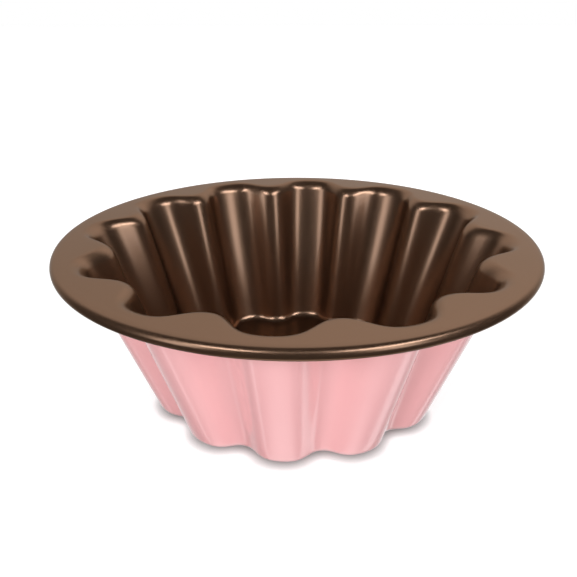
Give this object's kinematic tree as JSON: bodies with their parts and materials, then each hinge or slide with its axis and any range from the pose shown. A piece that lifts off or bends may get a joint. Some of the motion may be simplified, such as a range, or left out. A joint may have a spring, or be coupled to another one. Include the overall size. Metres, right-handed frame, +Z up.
{
  "type": "brioche mould",
  "caption": "Round fluted brioche mould with flaring wall, flat rim and wired rolled edge: brown non-stick lining inside, pink enamel outside.",
  "frame": {"origin": "centre of the underside, where the mould stands", "axes": "+Z up along the mould's axis; +X and +Y each pass through the middle of a flute"},
  "size_m": [0.24, 0.24, 0.085],
  "materials": {
    "steel_sheet": "bare sheet, hidden under its coatings",
    "nonstick_coating": "satin non-stick, dark brown",
    "enamel": "smooth gloss, pale pink",
    "steel_wire": "drawn wire, hidden in the rolled edge"
  },
  "bodies": {
    "root": {"pressed_steel_body": "steel_sheet", "nonstick_lining": "nonstick_coating", "outer_enamel": "enamel", "rim_wire": "steel_wire"}
  },
  "joints": []
}
